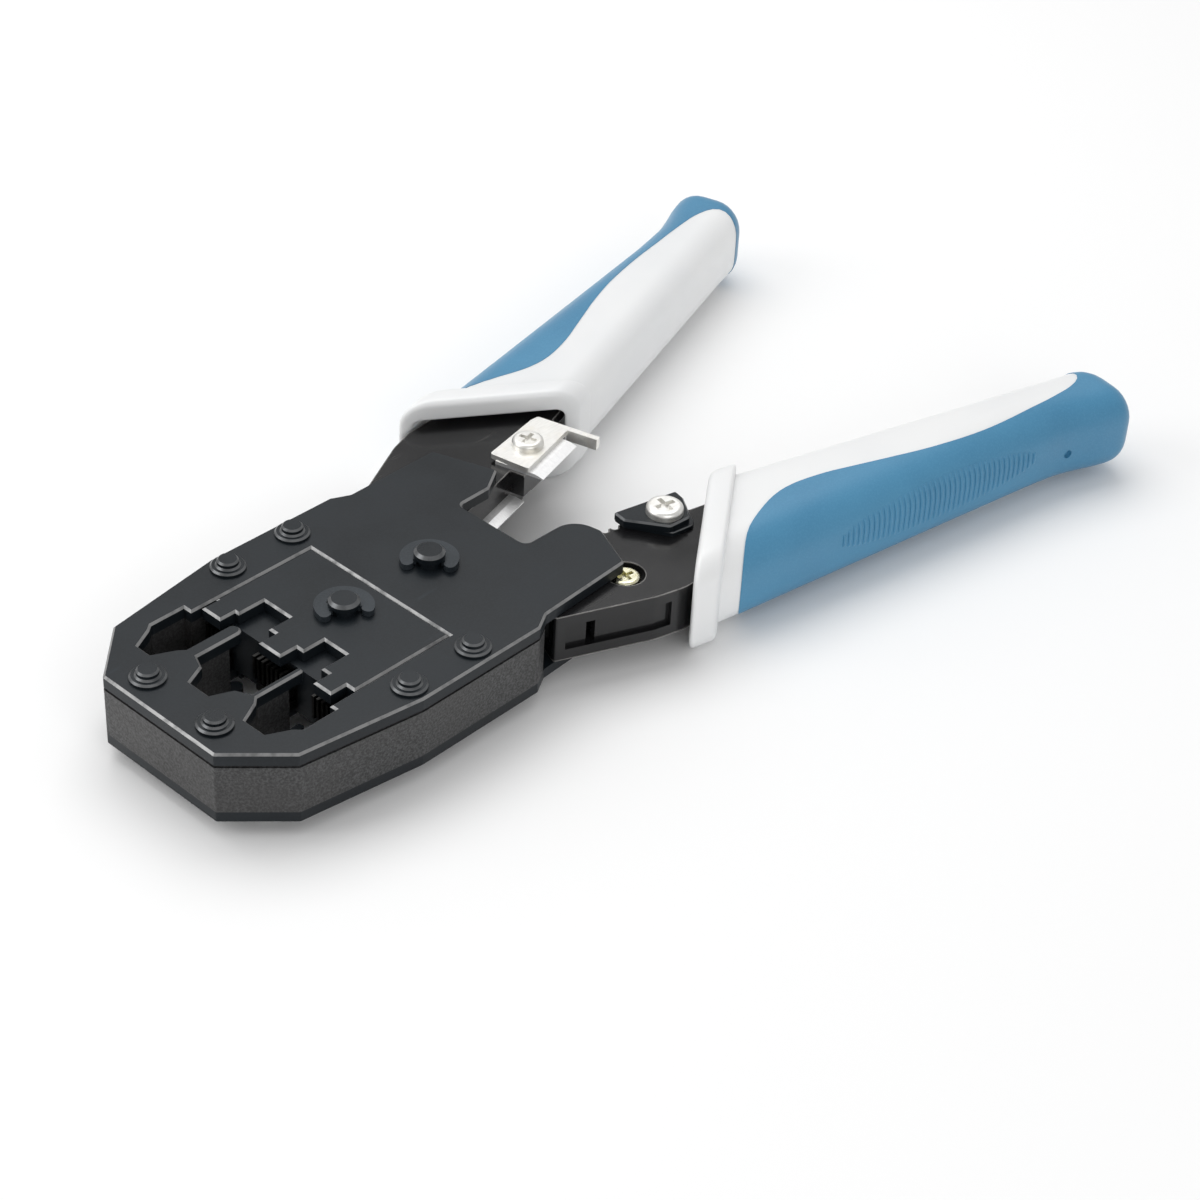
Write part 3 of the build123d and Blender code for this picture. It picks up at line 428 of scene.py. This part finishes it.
def loft(name, rings, sign, close=False):
    """Closed mesh through rings of equal length, in millimetres; close joins the last ring to the first."""
    verts = [(x * MM, sign * y * MM, z * MM) for ring in rings for x, y, z in ring]
    n, count = len(rings[0]), len(rings)
    faces = []
    for i in range(count if close else count - 1):
        a, b = i * n, ((i + 1) % count) * n
        for j in range(n):
            k = (j + 1) % n
            faces.append((a + j, a + k, b + k, b + j))
    if not close:
        faces += [tuple(range(n)), tuple(range((count - 1) * n, count * n))]
    mesh = bpy.data.meshes.new(name)
    mesh.from_pydata(verts, [], faces)
    work = bmesh.new()
    work.from_mesh(mesh)
    bmesh.ops.recalc_face_normals(work, faces=work.faces)
    work.to_mesh(mesh)
    work.free()
    obj = bpy.data.objects.new(name, mesh)
    scene.collection.objects.link(obj)
    return obj


def prism(name, outline, half, sign):
    """Upright prism on a plan outline in millimetres."""
    return loft(name, [[(x, y, z) for x, y in outline] for z in (-half, half)], sign)


def cut(obj, tool, operation):
    """Boolean of obj with tool, applied; tool is kept."""
    mod = obj.modifiers.new("cut", "BOOLEAN")
    mod.operation = operation
    mod.solver = "EXACT"
    mod.object = tool
    bake(obj)


def bake(obj):
    """Applies obj's modifiers to its mesh."""
    bpy.context.view_layer.update()
    result = bpy.data.meshes.new_from_object(obj.evaluated_get(bpy.context.evaluated_depsgraph_get()))
    obj.modifiers.clear()
    old, obj.data = obj.data, result
    bpy.data.meshes.remove(old)


def smooth(obj, angle=32.0):
    """Smooth shading, kept sharp where faces meet at more than this angle."""
    for face in obj.data.polygons:
        face.use_smooth = True
    obj.data.set_sharp_from_angle(angle=math.radians(angle))


def rounded(points, spacing=1.5):
    """Catmull-Rom curve through plan points, with about this spacing."""
    out = []
    padded = [points[0]] + list(points) + [points[-1]]
    for p0, p1, p2, p3 in zip(padded, padded[1:], padded[2:], padded[3:]):
        steps = max(2, int(math.dist(p1, p2) / spacing))
        for k in range(steps):
            t = k / steps
            out.append(tuple(0.5 * ((2 * b) + (c - a) * t + (2 * a - 5 * b + 4 * c - d) * t * t
                                    + (3 * b - a - 3 * c + d) * t ** 3)
                             for a, b, c, d in zip(p0, p1, p2, p3)))
    return out + [points[-1]]


# edge of the blue skin: in over the flat, back out along the grip, then round the tip to the inner side
SKIN_EDGE = ((41.0, 27.5), (44.0, 23.6), (47.5, 19.6), (51.5, 16.8), (57.0, 13.9), (62.0, 12.7), (68.4, 12.8),
             (74.0, 13.6), (84.0, 15.1), (92.0, 15.8), (101.0, 15.8), (110.0, 15.0), (118.0, 14.1),
             (122.5, 13.2), (125.4, 11.8), (126.6, 9.6), (126.2, 7.2), (124.8, 4.8), (123.5, 2.0),
             (122.5, -1.0))


def front(y, shift=0.0):
    """Where the collar's slanted front plane is at y."""
    (x0, y0), (x1, y1) = COLLAR_OUT, COLLAR_IN
    return x0 + (y - y0) * (x1 - x0) / (y1 - y0) + shift


def collar_ring(inset, along, low=COLLAR_IN[1], high=COLLAR_OUT[1], half=COLLAR_HALF, corner=COLLAR_CORNER):
    """Slanted rounded rectangle, pulled in by inset, at a distance along the grip from the front plane."""
    r = max(corner - inset, 0.6)
    outline = section(low + inset, high - inset, half - inset, (r, r, r, r), 8, 6)
    return [(front(y, along), y, z) for y, z in outline]


def quarter(steps):
    """Sines and one-minus-cosines over a right angle."""
    angles = [math.radians(90 * k / steps) for k in range(steps + 1)]
    return [(math.sin(a), 1 - math.cos(a)) for a in angles]


def collar(name, sign):
    """Flange round the grip's mouth: rounded rims outside, a softened mouth inside."""
    rings = [collar_ring(FRONT_R * (1 - up), FRONT_R * out) for up, out in quarter(6)]
    rings += [collar_ring(BACK_R * out, COLLAR_T - BACK_R * (1 - up)) for up, out in quarter(5)]
    rings.append(collar_ring(2.4, COLLAR_T + 0.05))
    mouth = dict(low=MOUTH[0], high=MOUTH[1], half=MOUTH[2], corner=1.4)
    rings.append(collar_ring(0.0, COLLAR_T + 0.05, **mouth))
    rings.append(collar_ring(0.0, MOUTH_R, **mouth))
    rings += [collar_ring(-MOUTH_R * out, MOUTH_R * (1 - up), **mouth) for up, out in quarter(4)[1:]]
    return loft(name, rings, sign, close=True)


# moulded on the skin's outer side, by distance along the grip and height from its mid-plane
OVAL_PLACE, OVAL_HALF = (87.5, 0.9), (23.0, 3.7)
RIB_PITCH, RIB_HALF, RIB_RISE, RIB_ROOT = 1.15, 0.3, 0.24, 0.12
GATE_PLACE, GATE_R, GATE_DEPTH = (117.8, -1.2), 0.8, 0.7


def outer_side(x, z):
    """The skin's outer surface at x and z: its y, and its outward direction in y and z."""
    high = interpolate(x, OUTER_EDGE) + SKIN_PROUD
    r = TOP_CORNER if z > 0 else LOW_CORNER
    past = abs(z) - (HALF + SKIN_PROUD - r)
    if past <= 0:
        return high, (1.0, 0.0)
    lean = math.asin(min(past / r, 1.0))
    return high - r + r * math.cos(lean), (math.cos(lean), math.copysign(math.sin(lean), z))


def rib(x, sign):
    """Low rounded bar across the oval at x, following the skin and fading out at both ends."""
    reach = OVAL_HALF[1] * math.sqrt(1 - ((x - OVAL_PLACE[0]) / OVAL_HALF[0]) ** 2)
    rings = []
    for i in range(17):
        t = i / 8 - 1
        z = OVAL_PLACE[1] + reach * t
        y, (ny, nz) = outer_side(x, z)
        rise = RIB_RISE * math.sqrt(1 - t ** 4)
        arc = [math.radians(180 * k / 6) for k in range(7)]
        profile = [(RIB_HALF * math.cos(a), rise * math.sin(a)) for a in arc]
        profile += [(-RIB_HALF, -RIB_ROOT), (RIB_HALF, -RIB_ROOT)]
        rings.append([(x + dx, y + ny * up, z + nz * up) for dx, up in profile])
    return loft("rib", rings, sign)


def ribbed(skin, sign):
    """Adds the oval of ribs to the skin's mesh."""
    count = int(OVAL_HALF[0] / RIB_PITCH) - 1
    work = bmesh.new()
    work.from_mesh(skin.data)
    for k in range(-count, count + 1):
        bar = rib(OVAL_PLACE[0] + RIB_PITCH * k, sign)
        work.from_mesh(bar.data)
        bpy.data.objects.remove(bar)
    work.to_mesh(skin.data)
    work.free()


def gate_tool(sign):
    """Plug that sinks the gate mark into the skin."""
    x, z = GATE_PLACE
    y = outer_side(x, z)[0]
    turns = [2 * math.pi * k / 32 for k in range(32)]
    rings = []
    for r, rise in ((0.75 * GATE_R, -GATE_DEPTH), (GATE_R, -0.5 * GATE_DEPTH), (GATE_R, GATE_DEPTH)):
        rings.append([(x + r * math.cos(a), y + rise, z + r * math.sin(a)) for a in turns])
    return loft("tool_gate", rings, sign)


def place_on(obj, angle, body):
    """Turns a grip piece from the handle's frame into the row frame and puts it on its body."""
    obj.data.transform(Matrix.Translation((0, 0, MID_Z)) @ Matrix.Rotation(math.radians(angle), 4, "Z"))
    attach(obj, body)


blue_plan = rounded(SKIN_EDGE) + [(PAST_END, -1.0), (PAST_END, OUTSIDE), (30.0, OUTSIDE)]
behind_collar = [(front(INSIDE, COLLAR_T - LAP), INSIDE), (PAST_END, INSIDE), (PAST_END, OUTSIDE),
                 (front(OUTSIDE, COLLAR_T - LAP), OUTSIDE)]
for side, (angle, sign, body) in HANDLES.items():
    blue_tool = prism("tool_blue", blue_plan, TOOL_HALF, sign)
    back_tool = prism("tool_back", behind_collar, TOOL_HALF, sign)

    shell = loft(f"{side}_grip_body", grip_rings(0.0), sign)
    cut(shell, back_tool, "INTERSECT")
    cut(shell, blue_tool, "DIFFERENCE")
    smooth(shell)
    paint(shell, "grip_white")
    place_on(shell, angle, body)

    rim = collar(f"{side}_grip_collar", sign)
    smooth(rim, 50.0)
    paint(rim, "grip_white")
    place_on(rim, angle, body)
    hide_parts(f"{side}_grip_shell")

    plug = gate_tool(sign)
    skin = loft(f"{side}_grip_skin", grip_rings(SKIN_PROUD), sign)
    cut(skin, back_tool, "INTERSECT")
    cut(skin, blue_tool, "INTERSECT")
    cut(skin, plug, "DIFFERENCE")
    ribbed(skin, sign)
    smooth(skin)
    paint(skin, "grip_blue")
    place_on(skin, angle, body)
    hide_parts(f"{side}_grip_overmould")
    for tool in (blue_tool, back_tool, plug):
        bpy.data.objects.remove(tool)

coil = loft("return_coil", spring(), 1)
smooth(coil, 60.0)
paint(coil, "spring_steel")
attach(coil, "head")
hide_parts("return_spring")
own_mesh(coil)

# ---------------------------------------------------------------- floor, light and camera
FLOOR_SIZE, FLOOR_GAP = 3.0, 0.05 * MM
bpy.ops.mesh.primitive_plane_add(size=FLOOR_SIZE, location=(0, 0, cad_low[2] - FLOOR_GAP))
floor = bpy.context.object
floor.name = "floor"
white = Shader("floor_white", (0.93, 0.93, 0.93), roughness=0.9)
floor.data.materials.append(white.mat)

world = bpy.data.worlds.new("studio")
scene.world = world
world.use_nodes = True
world.node_tree.nodes["Background"].inputs["Color"].default_value = (1.0, 1.0, 1.0, 1)
world.node_tree.nodes["Background"].inputs["Strength"].default_value = 0.56


def area(name, place, target, width, height, power):
    """Rectangular softbox facing its target."""
    lamp = bpy.data.lights.new(name, "AREA")
    lamp.shape = "RECTANGLE"
    lamp.size = width
    lamp.size_y = height
    lamp.energy = power
    obj = bpy.data.objects.new(name, lamp)
    scene.collection.objects.link(obj)
    obj.location = place
    obj.rotation_euler = (Vector(target) - Vector(place)).to_track_quat("-Z", "Y").to_euler()


middle = (0.035, 0.0, 0.0)
area("top_box", (0.15, 0.25, 0.6), middle, 0.7, 0.5, 2.3)
area("left_box", (-0.45, 0.35, 0.35), middle, 0.4, 0.5, 1.1)
area("front_box", (-0.25, -0.55, 0.3), middle, 0.5, 0.25, 0.85)

# the camera looks down at 37 degrees from the nose side, with a short telephoto lens
CAMERA_PLACE = Vector((-244.85, -248.11, 269.29)) * MM
CAMERA_AIM = Vector((18.81, -19.48, 9.0)) * MM
CAMERA_ROLL = math.radians(3.448)
camera_data = bpy.data.cameras.new("camera")
camera_data.sensor_width = 36.0
camera_data.lens = 82.39
camera_data.clip_start = 0.01
camera = bpy.data.objects.new("camera", camera_data)
scene.collection.objects.link(camera)
gaze = (CAMERA_AIM - CAMERA_PLACE).to_track_quat("-Z", "Y").to_matrix().to_4x4()
camera.matrix_world = Matrix.Translation(CAMERA_PLACE) @ gaze @ Matrix.Rotation(CAMERA_ROLL, 4, "Z")
scene.camera = camera
